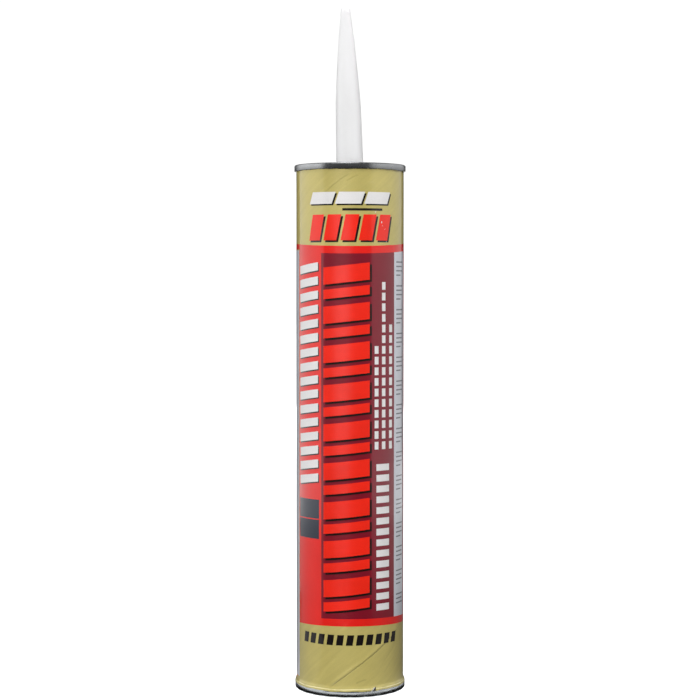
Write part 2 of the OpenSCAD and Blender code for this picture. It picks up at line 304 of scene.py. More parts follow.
def ink(name, colour, rough=0.34, coat=0.8, metal=0.0, shade=0.06, scuff=0.03, folds_and_painted_light=False):
    """Printed paper under varnish: uneven ink, paper tooth, soft rubs that run round the tube."""
    s = Shader(name)
    blotch = s.noise(38, 3)
    tooth = s.noise(2600, 2)
    tone = s.ramp(blotch, [(0.3, scaled(colour, 1 - shade)), (0.7, scaled(colour, 1 + shade))])
    grain = s.ramp(tooth, [(0.35, 0.93), (0.65, 1.0)])
    tone = s.mix(1.0, tone, grain, "MULTIPLY")
    rub = s.ramp(s.noise(9, 6, 0.7, s.stretched(6, 6, 30), 0.4), [(0.62, 0.0), (0.74, 1.0)])
    pale = tuple(0.55 * c + 0.4 for c in colour)
    tone = s.mix(s.math("MULTIPLY", rub, scuff * RUB_FADE), tone, pale)
    normal = s.bump(tooth, 0.000012, 0.6, s.bump(s.noise(260, 3), 0.00005, 0.5))
    # On the gold: streaks and folds, painted shade along the folds and a painted highlight line at
    # the foot
    if folds_and_painted_light:
        tone, normal = crease_marks(s, tone, normal, colour)
        tone = foot_highlight(s, tone)
    s.set(Base_Color=tone, Metallic=metal, Coat_Weight=coat, Coat_Roughness=COAT_ROUGH)
    s.set(Roughness=s.math("ADD", s.math("MULTIPLY", rub, RUB_ROUGH), rough),
          Specular_IOR_Level=INK_SHINE)
    s.set(Normal=normal)
    return s.material


def crease_marks(s, tone, normal, colour):
    """Slanting streaks of the wound paper, and shallow folds with painted shade along them, darkest
    as a hairline in the main crease.
    """
    u, z = s.unrolled()
    slope = math.radians(WIND_ANGLE)
    along = s.math("ADD", s.math("MULTIPLY", u, math.cos(slope)),
                   s.math("MULTIPLY", z, math.sin(slope)))
    across = s.math("SUBTRACT", s.math("MULTIPLY", z, math.cos(slope)),
                    s.math("MULTIPLY", u, math.sin(slope)))
    grain = s.node("ShaderNodeCombineXYZ", 0, {"X": s.math("MULTIPLY", along, STREAK_ALONG),
                                               "Y": s.math("MULTIPLY", across, STREAK_ACROSS),
                                               "Z": 0.0})
    streak = s.noise(1.0, 4, 0.6, grain, 0.3)
    streaked = s.mix(1.0, tone, s.ramp(streak, [(0.36, 0.3), (0.6, 1.0)]), "MULTIPLY")
    tone = s.mix(STREAK_TONE, tone, streaked)
    normal = s.bump(streak, STREAK_DEPTH, 0.8, normal)
    for a0, z0, a1, z1, bend, width, fold_shade, depth in FOLDS:
        p, q = np.array([a0 * DEG, z0]), np.array([a1 * DEG, z1])
        length = float(np.linalg.norm(q - p))
        dx, dz = ((q - p) / length).tolist()
        x, y = s.math("SUBTRACT", u, float(p[0])), s.math("SUBTRACT", z, float(p[1]))
        ahead = s.math("ADD", s.math("MULTIPLY", x, dx), s.math("MULTIPLY", y, dz))
        along = s.math("DIVIDE", ahead, length)
        off = s.math("SUBTRACT", s.math("MULTIPLY", y, dx), s.math("MULTIPLY", x, dz))
        sway = s.math("MULTIPLY", s.math("SINE", s.math("MULTIPLY", along, math.pi)), bend)
        off = s.math("ABSOLUTE", s.math("SUBTRACT", off, sway))
        near = s.math("SUBTRACT", 1.0, s.math("DIVIDE", off, width), clamp=True)
        ends = s.math("MULTIPLY", s.math("MULTIPLY", along, 12.0, clamp=True),
                      s.math("MULTIPLY", s.math("SUBTRACT", 1.0, along), 6.0, clamp=True))
        mark = s.math("MULTIPLY", near, ends)
        # Painted shade: the fold's line is darkened towards a dark tone of the print
        if fold_shade:
            tone = s.mix(s.math("MULTIPLY", mark, fold_shade), tone, scaled(colour, 0.32))
        normal = s.bump(mark, -depth, 1.0, normal)
    return tone, normal


def foot_highlight(s, tone):
    """Painted highlight: a pale line where the label bends out over the ring."""
    _, z = s.unrolled()
    sway = s.math("MULTIPLY", s.math("SUBTRACT", s.noise(70, 3), 0.5), HIGHLIGHT_SWAY)
    off = s.math("ABSOLUTE", s.math("SUBTRACT", s.math("SUBTRACT", z, HIGHLIGHT_Z), sway))
    near = s.math("SUBTRACT", 1.5, s.math("DIVIDE", off, HIGHLIGHT_HALF), clamp=True)
    patchy = s.ramp(s.noise(150, 3), [(0.3, 0.35), (0.45, 0.95)])
    return s.mix(s.math("MULTIPLY", near, patchy), tone, HIGHLIGHT_TONE)


def metal(name, colour, rough, streak=(2, 2, 160), dirt=0.2, seam_shade=0.0):
    """Pressed tinplate: drawn streaks, fine scratches, handling marks and painted shade under the
    seam.
    """
    s = Shader(name)
    lines = s.noise(60, 5, 0.65, s.stretched(*streak))
    marks = s.ramp(s.noise(75, 5, 0.6), [(0.45, 0.0), (0.75, 1.0)])
    tone = s.ramp(lines, [(0.3, scaled(colour, 0.9)), (0.7, scaled(colour, 1.06))])
    tone = s.mix(s.math("MULTIPLY", marks, dirt), tone, scaled(colour, 0.45))
    # Painted shade: the outer wall darkens towards the seam's lower edge
    if seam_shade:
        x, y, z = s.axes()
        far = s.math("ADD", s.math("MULTIPLY", x, x), s.math("MULTIPLY", y, y))
        wall = s.math("GREATER_THAN", far, ((HOOK_R + 0.2) * MM) ** 2)
        deep = s.math("DIVIDE", s.math("SUBTRACT", (SEAM_Z + SEAM_SHADE_H) * MM, z), SEAM_SHADE_H * MM,
                      clamp=True)
        tone = s.mix(s.math("MULTIPLY", wall, s.math("MULTIPLY", deep, seam_shade)), tone,
                     scaled(colour, 0.3))
    s.set(Base_Color=tone, Metallic=1.0)
    s.set(Roughness=s.math("ADD", s.math("MULTIPLY", marks, 0.2), rough))
    s.set(Normal=s.bump(lines, 0.00002, 0.35, s.bump(s.noise(120, 3), 0.0001, 0.3)))
    return s.material


def plastic(name, colour, rough=0.42, under=0.3, radius=(0.9, 0.8, 0.75), grain=1400,
            depth=0.003):
    """Moulded polyethylene: milky, with a fine matt grain and faint flow marks."""
    s = Shader(name)
    flow = s.noise(30, 3, 0.5, s.stretched(1, 1, 0.35))
    tone = s.ramp(flow, [(0.3, scaled(colour, 0.95)), (0.7, scaled(colour, 1.02))])
    s.set(Base_Color=tone, Subsurface_Weight=under, Subsurface_Radius=radius,
          Subsurface_Scale=depth, IOR=1.5)
    s.set(Roughness=s.ramp(s.noise(90, 4), [(0.3, rough - 0.05), (0.7, rough + 0.08)]))
    s.set(Normal=s.bump(s.noise(grain, 2), 0.00002, 0.5, s.bump(s.noise(70, 2), 0.00012, 0.3)))
    return s.material


def board(name, colour, pitch=WINDING * MM):
    """Spirally wound grey-brown fibreboard: fibres, flecks and the darker joint of each turn."""
    s = Shader(name)
    x, y, z = s.axes()
    turn = s.math("DIVIDE", s.math("ARCTAN2", y, x), 2 * math.pi)
    wound = s.math("FRACT", s.math("SUBTRACT", s.math("DIVIDE", z, pitch), turn))
    joint = s.math("SUBTRACT", 1.0, s.ramp(s.math("ABSOLUTE", s.math("SUBTRACT", wound, 0.5)),
                                           [(0.0, 0.0), (0.02, 1.0)]))
    fibre = s.noise(240, 6, 0.7, s.stretched(1, 1, 2.5))
    fleck = s.ramp(s.noise(700, 2), [(0.62, 0.0), (0.7, 1.0)])
    tone = s.ramp(fibre, [(0.3, scaled(colour, 0.82)), (0.7, scaled(colour, 1.12))])
    tone = s.mix(s.math("MULTIPLY", fleck, 0.35), tone, scaled(colour, 0.45))
    tone = s.mix(s.math("MULTIPLY", joint, 0.55), tone, scaled(colour, 0.4))
    s.set(Base_Color=tone, Roughness=0.85)
    s.set(Normal=s.bump(fibre, 0.00012, 0.7, s.bump(joint, 0.0001, 0.6)))
    return s.material


GOLD = srgb(200, 186, 110)
# Pale gold of the painted highlight line at the foot
HIGHLIGHT_TONE = srgb(246, 236, 178)
RED = srgb(232, 26, 16)
MAROON = srgb(126, 12, 34)
SCARLET = srgb(246, 36, 12)
BLACK = srgb(22, 16, 14)
WHITE = srgb(232, 230, 230)
NAVY = srgb(32, 38, 54)
PALE = srgb(214, 216, 224)
GREY = srgb(112, 112, 120)

# Folds in the gold print: angle and height of each end, bend, half width, darkness of the painted
# shade along the fold, depth
FOLDS = [
    (-22.5, 5.4, 69.3, 41.3, 0.9, 0.5, 0.55, 0.0002),
    (-38.0, 9.0, -12.0, 26.0, 0.6, 1.6, 0.0, 0.00018),
    (32.0, 16.0, 58.0, 30.0, 0.4, 0.8, 0.12, 0.0001),
    (38.0, 13.0, 64.0, 27.0, 0.4, 0.7, 0.12, 0.0001),
    (46.0, 12.0, 70.0, 23.0, 0.3, 0.7, 0.1, 0.0001),
    (6.0, 8.4, 18.0, 10.6, 0.3, 0.7, 0.35, 0.0001),
    (-28.0, 298.0, 0.0, 309.6, 0.4, 0.7, 0.25, 0.00012),
    (-4.0, 304.6, 9.0, 308.6, 0.3, 0.7, 0.12, 0.0001),
    (-58.0, 284.0, -30.0, 297.0, 0.5, 1.4, 0.0, 0.0001),
]
gold = ink("label_gold", GOLD, rough=0.38, coat=0.8, metal=0.12, shade=0.05, scuff=0.3, folds_and_painted_light=True)
inks = {
    "red": ink("ink_red", RED),
    "maroon": ink("ink_maroon", MAROON),
    "scarlet": ink("ink_scarlet", SCARLET),
    # The black ink also carries the notch's painted shadow patch
    "black": ink("ink_black", BLACK, shade=0.1),
    "white": ink("ink_white", WHITE, shade=0.03),
    "navy": ink("ink_navy", NAVY, shade=0.1),
    "pale": ink("ink_pale", PALE, shade=0.03),
    "grey": ink("ink_grey", GREY, shade=0.05),
}
tinplate = metal("tinplate", srgb(176, 178, 180), 0.25, seam_shade=0.75)
ring_steel = metal("ring_steel", srgb(176, 180, 182), 0.18, dirt=0.25)
nozzle_plastic = plastic("nozzle_plastic", srgb(246, 245, 247), under=0.8, radius=(0.8, 0.8, 0.8),
                         depth=0.005)
piston_plastic = plastic("piston_plastic", srgb(226, 221, 206))
adhesive = plastic("adhesive_paste", srgb(196, 174, 134), rough=0.5, under=0.1, grain=900)
foil = metal("seal_foil", srgb(200, 202, 205), 0.3)
fibreboard = board("fibreboard", srgb(176, 148, 112))


# Label
def base_radius(z):
    """Outer radius of the label, which flares out over the ring at its foot."""
    heights = [LABEL_FOOT, 4.4, 5.0, 5.4, 5.75, 6.1, 6.6, 7.6]
    radii = [33.36, 33.26, 33.16, 33.04, 32.84, 32.6, 32.42, LABEL_R]
    return np.interp(z, heights, radii)


# Creases: angle and height of each end, bend of the line, ridge height and width
CREASES = [
    (-22.5, 5.4, 69.3, 41.3, 0.9, 0.26, 1.0),
    (-28.0, 298.0, 0.0, 309.6, 0.4, 0.08, 1.0),
    (20.0, 24.0, 66.0, 41.5, 0.6, 0.10, 1.4),
    (-30.0, 30.0, 4.0, 43.0, 0.5, 0.07, 1.4),
    (140.0, 10.0, 205.0, 34.0, 1.0, 0.20, 1.5),
]


def bulge(u, z):
    """Height of the paper's creases and waves over the tube."""
    h = np.zeros_like(u)
    for a0, z0, a1, z1, bend, ridge, w in CREASES:
        p, q = np.array([a0 * DEG, z0]), np.array([a1 * DEG, z1])
        d = (q - p) / np.linalg.norm(q - p)
        t = ((u - p[0]) * d[0] + (z - p[1]) * d[1]) / np.linalg.norm(q - p)
        off = (z - p[1]) * d[0] - (u - p[0]) * d[1] - bend * np.sin(math.pi * t)
        ends = smooth_step(t / 0.08) * smooth_step((1 - t) / 0.2)
        h += ends * ridge * (np.exp(-((off - 0.9 * w) / w) ** 2)
                             - 0.75 * np.exp(-(off / (0.36 * w)) ** 2))
    a = u / LABEL_R
    # Slow waves, quicker ones, and ripples that fade out above the foot
    h += 0.035 * np.sin(3 * a + 0.021 * z + 0.7) * np.sin(0.035 * z + 1.1)
    h += 0.02 * np.sin(7 * a - 0.05 * z) * np.sin(0.09 * z + 0.4)
    h += 0.02 * np.sin(11 * a + 0.13 * z + 2.0) * smooth_step((60 - z) / 50)
    return h * smooth_step((z - 4.5) / 4) * smooth_step((309.5 - z) / 6)


def label_point(u, z, lift=0.0):
    """Place on the label's outer face, u millimetres round from the front."""
    a = u / LABEL_R
    lap = (LABEL_T + 0.02) * smooth_step((u / DEG - LAP_FROM) / LAP_RISE)
    r = base_radius(z) + bulge(u, z) + lap + lift
    edge = 0.12 * np.sin(9 * a + 1.3) + 0.1 * np.sin(23 * a) if np.ndim(z) else 0.0
    z = z + np.where(z < 5.0, edge * np.clip((5.0 - z) / 1.2, 0, 1), 0.0)
    return np.stack([r * np.sin(a), -r * np.cos(a), z], -1)


shapes = []  # (ink, outline in label coordinates), each painted over those before it


def refined(points, step=0.9):
    """Closed outline with its edges cut to short steps."""
    out = []
    for p, q in zip(points, np.roll(points, -1, axis=0)):
        n = max(1, int(math.ceil(np.abs(q - p).max() / step)))
        out += [p + (q - p) * i / n for i in range(n)]
    return np.array(out)


def field(colour, a, b, low, top, tilt=BOW):
    """Band of the label between two angles, with bowed edges."""
    angles = np.linspace(a, b, max(2, int((b - a) * DEG)))
    rise = LABEL_R * np.cos(np.radians(angles)) * math.tan(math.radians(tilt))
    lower = np.c_[angles * DEG, low + rise]
    upper = np.c_[angles * DEG, top - rise][::-1]
    shapes.append((colour, refined(np.vstack([lower, upper]))))


def stamp(colour, angle, z, points):
    """Flat shape projected onto the label at an angle and a height."""
    p = refined(np.array(points, float))
    turned = angle * DEG + LABEL_R * np.arcsin(np.clip(p[:, 0] / LABEL_R, -0.999, 0.999))
    shapes.append((colour, np.c_[turned, z + p[:, 1]]))


def bar(w, h, skew=0.0, slant=0.0, shift=(0.0, 0.0)):
    """Corners of a bar that rises by skew to its right and leans by slant at its top."""
    x, y = shift
    return [(x - w / 2 - slant / 2, y - h / 2 - skew / 2),
            (x + w / 2 - slant / 2, y - h / 2 + skew / 2),
            (x + w / 2 + slant / 2, y + h / 2 + skew / 2),
            (x - w / 2 + slant / 2, y + h / 2 - skew / 2)]


def shaded(colour, angle, z, shade, *args, shift=(0.0, 0.0)):
    """Bar with a black drop shadow under it."""
    stamp("black", angle, z, bar(*args, shift=(shift[0] + shade, shift[1] - shade)))
    stamp(colour, angle, z, bar(*args, shift=shift))


def draw_fields():
    """Red, maroon and pale fields, and the small red register mark at the lap's foot."""
    field("red", FRONT_LEFT, BACK_LEFT, FIELD_LOW, FIELD_TOP)
    field("red", BACK_LEFT, LABEL_END, DARK_TOP, FIELD_TOP + 0.01)
    field("maroon", DARK_LEFT, FRONT_RIGHT, DARK_LOW, DARK_TOP)
    field("pale", FRONT_RIGHT, STRIP_RIGHT, DARK_LOW, DARK_TOP)
    field("pale", BACK_LEFT, LABEL_END, BACK_LOW, DARK_TOP, 0)
    field("red", LABEL_END - 17, LABEL_END - 10, 6.8, BACK_LOW + 0.01, 0)


def draw_panel():
    """Plain bars and blocks on the maroon panel and beside it."""
    low, high = DARK_LOW + 5.2, DARK_TOP - 6.6
    height = high - low
    # Scarlet pairs of a thick and a thin bar, all up the panel
    n, wide, rise, shade = 9, 27.4, 3, 1.2
    pitch = height / n
    thick, thin, gap = pitch * 0.44, pitch * 0.24, pitch * 0.13
    middle = (thin + gap) / 2
    for i in range(n):
        z = low + (i + 0.5) * pitch
        shaded("scarlet", NAME_AT, z, shade, wide, thick, rise, shift=(0, middle))
        shaded("scarlet", NAME_AT, z, shade, wide, thin, rise,
               shift=(0, middle - (thick + thin) / 2 - gap))
    # White blocks in the upper part of the red field, and two navy ones under them
    n = 16
    pitch = height * 0.64 / n
    for i in range(n):
        shaded("white", LEFT_AT, high - (i + 0.5) * pitch, 0.7, 17, pitch * 0.58, 2.4)
    for i in range(2):
        stamp("navy", LEFT_AT, low + height * 0.237 + i * 12, bar(18.4, 11.4))
    # White blocks at the right: one wide column below, three narrow ones above
    n = 14
    pitch = height * 0.43 / n
    for i in range(n):
        stamp("white", RIGHT_AT, low + (i + 0.5) * pitch, bar(9.5, pitch * 0.62))
    pitch = height * 0.0302
    for angle, n in ((29, 10), (38, 16), (48, 12)):
        for i in range(n):
            stamp("white", angle, low + height * 0.462 + (i + 0.5) * pitch, bar(2.6, pitch * 0.72))


def draw_bands():
    """Slanted blocks and a rule in the upper gold band, and blocks in the lower one."""
    # Scarlet blocks, a black rule and white blocks, each above the one before
    badge_h = 15.2
    badge_z = FIELD_TOP + 1.2 + badge_h / 2
    for i in range(5):
        shaded("scarlet", (i - 2) * 19, badge_z, 1.1, 8.2, badge_h, 0, 3)
    rule_z, rule_h, title_h = badge_z + badge_h / 2 + 2.2, 1.4, 7
    field("black", -8, 36, rule_z, rule_z + rule_h, 0)
    title_z = rule_z + rule_h + 2.6 + title_h / 2
    for i in range(3):
        shaded("white", (i - 1) * 31, title_z, 0.9, 15.4, title_h, 0, 2.4)
    # Black blocks under the red field
    for i in range(11):
        stamp("black", (i - 5) * 10.6, FIELD_LOW - 6.2, bar(4, 6.2, 0, 1))


def draw_damage():
    """Chips down to the white paper, and painted shadow: a black patch where the notch is torn in the
    label's lower edge.
    """
    # Angle, height, size and turn of each chip
    chips = [(35.0, 281.0, 0.9, 0.3), (36.4, 279.2, 0.6, 1.2), (27.7, 287.2, 0.7, 0.7),
             (39.3, 277.0, 0.6, 2.0), (41.5, 269.6, 0.4, 0.2)]
    for angle, z, size, turn in chips:
        a = np.linspace(0, 2 * math.pi, 9, endpoint=False)
        r = size * (0.65 + 0.35 * np.sin(3 * a + turn * 5) * np.cos(2 * a + turn))
        stamp("white", angle, z, np.c_[r * np.cos(a) * 0.7, r * np.sin(a + turn)].tolist())
    # Painted shadow: a black patch stands for the notch's dark gap; the label isn't cut
    stamp("black", NOTCH, LABEL_FOOT,
          [(-1.4, 0.03), (1.3, 0.03), (1.7, 2.2), (0.5, 1.6), (-0.5, 0.8)])


def draw_rows():
    """Plain grey rows on the side strip and the back panel."""
    middle = (FRONT_RIGHT + STRIP_RIGHT) / 2
    z, row, widths = DARK_TOP - 7, 0, (9.4, 8.2, 9.0, 6.0)
    while z > DARK_LOW + 8:
        w = widths[row % 4]
        stamp("grey", middle, z, bar(w, 0.8, shift=(-(widths[0] - w) / 2, 0)))
        row += 1
        z -= 6.4 if row % 4 == 0 else 2.6
    widths = (36, 34, 36, 35, 21)
    for middle in (134, 238):
        z, row = DARK_TOP - 12, 0
        while z > BACK_LOW + 12:
            w = widths[row % 5]
            stamp("grey", middle, z, bar(w, 1.1, shift=(-(widths[0] - w) / 2, 0)))
            row += 1
            z -= 9.0 if row % 5 == 0 else 3.6


def inside(outline, points):
    """Which points lie inside a closed outline."""
    lo, hi = outline.min(0), outline.max(0)
    near = np.nonzero(((points >= lo) & (points <= hi)).all(1))[0]
    p = points[near]
    hit = np.zeros(len(p), bool)
    for (x0, y0), (x1, y1) in zip(outline, np.roll(outline, -1, axis=0)):
        if y0 == y1:
            continue
        crosses = (p[:, 1] < y0) != (p[:, 1] < y1)
        hit ^= crosses & (p[:, 0] < x0 + (p[:, 1] - y0) * (x1 - x0) / (y1 - y0))
    out = np.zeros(len(points), bool)
    out[near[hit]] = True
    return out


def label_grid():
    """Points over the unrolled label, close together at the creases and on the front."""
    left, right = LAP_LEFT * DEG, LABEL_END * DEG
    front_end, fine_left, fine_right = 90 * DEG, -28 * DEG, 58 * DEG
    fine_top, low_top, high_low, back_low_top = 36.0, 48.0, 292.0, 40.0
    # From and to round the label, from and to upwards, step round, step upwards
    zones = [
        (left, fine_left, LABEL_FOOT, low_top, 0.9, 0.8),
        (fine_left, fine_right, LABEL_FOOT, fine_top, 0.55, 0.42),
        (fine_left, fine_right, fine_top, low_top, 0.9, 0.8),
        (fine_right, front_end, LABEL_FOOT, low_top, 0.9, 0.8),
        (left, front_end, low_top, high_low, 1.2, 2.4),
        (left, front_end, high_low, LABEL_TOP, 0.9, 0.8),
        (front_end, right, LABEL_FOOT, back_low_top, 1.3, 1.1),
        (front_end, right, back_low_top, LABEL_TOP, 1.4, 4.0),
    ]
    points = []
    for u0, u1, z0, z1, du, dz in zones:
        us = np.linspace(u0, u1, int((u1 - u0) / du) + 1)[:-1 if u1 < right else None]
        zs = np.linspace(z0, z1, int((z1 - z0) / dz) + 1)[:-1 if z1 < LABEL_TOP else None]
        points.append(np.stack(np.meshgrid(us, zs), -1).reshape(-1, 2))
    rim_z = np.concatenate([np.linspace(LABEL_FOOT, low_top, 75),
                            np.linspace(low_top + 2, LABEL_TOP, 120)])
    rim = [np.c_[np.full(len(rim_z), left), rim_z], np.c_[np.full(len(rim_z), right), rim_z]]
    return np.vstack(points), np.vstack(rim)


def label_triangles():
    """Triangles over the unrolled label whose edges follow every outline."""
    grid, rim = label_grid()
    border = np.vstack([s[1] for s in shapes])
    tree = kdtree.KDTree(len(border))
    for i, (x, y) in enumerate(border):
        tree.insert((x, y, 0), i)
    tree.balance()
    keep = np.array([tree.find((x, y, 0))[2] > OUTLINE_GAP for x, y in grid])
    points, edges = [*grid[keep], *rim], []
    for _, outline in shapes:
        first, n = len(points), len(outline)
        points += list(outline)
        edges += [(first + i, first + (i + 1) % n) for i in range(n)]
    made = delaunay_2d_cdt([tuple(p) for p in points], edges, [], 0, 1e-4, False)
    where = np.array([tuple(v) for v in made[0]])
    triangles = np.array([t for t in made[2] if len(t) == 3])
    return where, triangles


def closed_sheet(outer, inner, triangles):
    """Solid between two faces of the same triangles."""
    used, flat = np.unique(triangles, return_inverse=True)
    t = flat.reshape(-1, 3)
    n = len(used)
    edges = np.concatenate([t[:, [0, 1]], t[:, [1, 2]], t[:, [2, 0]]])
    keys = {(a, b) for a, b in edges.tolist()}
    rim = [(a, b) for a, b in keys if (b, a) not in keys]
    faces = t.tolist() + (t[:, ::-1] + n).tolist() + [(b, a, a + n, b + n) for a, b in sorted(rim)]
    return np.vstack([outer[used], inner[used]]), faces


def build_label():
    """The label sheet, and a thin closed piece of ink for each colour on it."""
    draw_fields()
    draw_panel()
    draw_bands()
    draw_rows()
    draw_damage()
    where, triangles = label_triangles()
    u, z = where[:, 0], where[:, 1]
    middle = where[triangles].mean(1)
    colour = np.full(len(triangles), "gold", object)
    for name, outline in shapes:
        colour[inside(outline, middle)] = name
    paper, back = label_point(u, z), label_point(u, z, -LABEL_T)
    make_piece("label_sheet", *closed_sheet(paper, back, triangles), CARTRIDGE, gold, "label_gold",
               ["label"], recalc=False)
    top = label_point(u, z, INK_T)
    for name, node in (("red", "print_red"), ("maroon", "print_maroon"), ("scarlet", "print_scarlet"),
                       ("black", "print_black"), ("white", "print_white"), ("navy", "print_navy"),
                       ("pale", "print_back"), ("grey", None)):
        part = closed_sheet(top, paper, triangles[colour == name])
        slot = "ink_black" if name == "grey" else "ink_" + name
        make_piece("ink_" + name, *part, CARTRIDGE, inks[name], slot, [node] if node else (),
                   recalc=False)
    build_curl()


def build_curl():
    """Torn flap of white paper that stands beside the notch's painted black shadow patch in the
    label's lower edge.
    """
    n = 8
    t = np.linspace(0, 1, n)
    side = np.array([NOTCH * DEG - 1.5 + 1.7 * t + 0.25 * np.sin(3 * t), 3.75 + 2.0 * t]).T
    section = [(0.0, 0.0), (0.5, 0.12), (0.85, 0.02), (0.8, -0.12), (0.45, 0.0), (0.0, -0.12)]
    verts = []
    for (u, z), k in zip(side, t):
        for across, lift in section:
            a = (u + across * (0.4 + 0.6 * k)) / LABEL_R
            r = base_radius(z) + lift
            verts.append((r * math.sin(a), -r * math.cos(a), z - 0.25 * across))
    faces = [(i * 6 + j, i * 6 + (j + 1) % 6, (i + 1) * 6 + (j + 1) % 6, (i + 1) * 6 + j)
             for i in range(n - 1) for j in range(6)]
    faces += [tuple(range(6)), tuple(range((n - 1) * 6, n * 6))]
    make_piece("torn_curl", verts, faces, CARTRIDGE, inks["white"], "ink_white")


# Metal end, ring, nozzle, tube, piston and paste
def build_top_end():
    """Tinplate end with its panel, groove and double seam."""
    bend, fold = EDGE_BEND, (SEAM_R - HOOK_R) / 2.02
    path = rounded([
        (HOLE_R, BOSS_Z, 0), (BOSS_R, BOSS_Z, 0.6), (BOSS_R + 1.4, PANEL_Z, 0.6),
        (PANEL_R, PANEL_Z, 0.6), (PANEL_R + 0.5, GROOVE_Z, 0.3), (CHUCK_R, GROOVE_Z, 0.6),
        (CHUCK_R, BODY_H, bend), (SEAM_R, BODY_H, bend), (SEAM_R, SEAM_Z, fold),
        (HOOK_R, SEAM_Z, fold), (HOOK_R, SEAM_Z + HOOK_H, 0)])

    def warp(v):
        a, r = polar(v)
        low = smooth_step((SEAM_Z + 1.6 - v[:, 2]) / 1.6) * (r > 32)
        v[:, 2] += low * waves(a, [(0.07, 5, 0.3), (0.05, 17, 1.0), (0.03, 41, 2.0)])
        wall = (r > 33.0) & (v[:, 2] > SEAM_Z + 0.5)
        return spread(v, 1 - wall * np.abs(waves(a, [(0.0012, 9, 0.0), (0.0008, 23, 1.5)])))

    make_piece("seam_end", *lathe(sheet_profile(path, -TIN_T), 288, warp), CARTRIDGE, tinplate,
               "tinplate", ["top_end"])


def build_ring():
    """Steel ring crimped over the tube's open foot."""
    bend = EDGE_BEND
    path = rounded([
        (CHUCK_R, RING_IN_H, 0), (CHUCK_R, 0, bend), (RING_R, 0, bend),
        (RING_R, RING_WALL_H, bend), (RING_TOP_R, RING_H, 0)])

    def warp(v):
        a, r = polar(v)
        wall = (r > 32.8) & (v[:, 2] > 0.6)
        return spread(v, 1 - wall * np.abs(waves(a, [(0.001, 7, 0.4), (0.0009, 19, 1.1)])))

    make_piece("foot_ring", *lathe(sheet_profile(path, TIN_T), 288, warp), CARTRIDGE, ring_steel,
               "ring_steel", ["bottom_ring"])


def build_nozzle():
    """Hollow closed nozzle with its flange, groove and collar, leaning a little."""
    outside = [(13, 310.65), (13, 312.15), (8.55, 312.15), (8.55, 313.55), (9.5, 313.55),
               (9.5, 314.2), (9.1, 314.6), (8.35, 314.9), (8.15, 316)]
    heights = np.array([316, 322, 331, 343, 350, 354, 358, 367.4, 381.4, 391.7, 401.4, 408.6])
    radii = np.array([8.15, 8.05, 7.95, 7.7, 7.55, 7.45, 7.22, 6.62, 5.55, 4.68, 3.62, 2.85])
    fine = np.linspace(317, 408.6, 60)
    body = list(zip(np.interp(fine, heights, radii), fine))
    tip = [(2.74, 409.3), (2.52, 409.9), (2.1, 410.35), (1.5, 410.65), (0.9, 410.78), (0.75, 410.98),
           (0, TIP_Z)]
    hollow = [(0, 407.1), (1.5, 407.1), (5.95, 354), (6.7, 313.5), (6.7, 310.65)]

    def warp(v):
        v[:, 0] -= np.maximum(v[:, 2] - BOSS_Z, 0) * math.tan(math.radians(LEAN))
        return v

    make_piece("spout", *lathe(outside + body + tip + hollow, 160, warp), CARTRIDGE, nozzle_plastic,
               "nozzle_plastic", ["nozzle"], sharp=50)


def build_tube():
    """Fibre tube, with the winding's seam as a shallow spiral on its inner wall."""
    inner = [(BORE_R, z) for z in np.linspace(1.6, 34, 60)] + [(BORE_R, 314.2)]
    lip = [(31.4, 315.4), (33.0, 315.5), (33.1, 313.8), (TUBE_R, 313.7)]
    outer = [(TUBE_R, 5.3), (32.95, 3.2), (32.9, 0.8), (32.3, 0.4), (31.4, 0.4)]

    def warp(v):
        a, r = polar(v)
        wall = (r < BORE_R + 0.01) & (v[:, 2] < 40) & (v[:, 2] > 1.7)
        turn = np.abs(((v[:, 2] / WINDING - a / (2 * math.pi)) + 0.5) % 1 - 0.5) * WINDING
        return spread(v, 1 + wall * 0.0028 * np.exp(-(turn / 0.5) ** 2))

    make_piece("wound_tube", *lathe(inner + lip + outer, 256, warp), CARTRIDGE, fibreboard,
               "fibreboard", ["fibre_tube"])


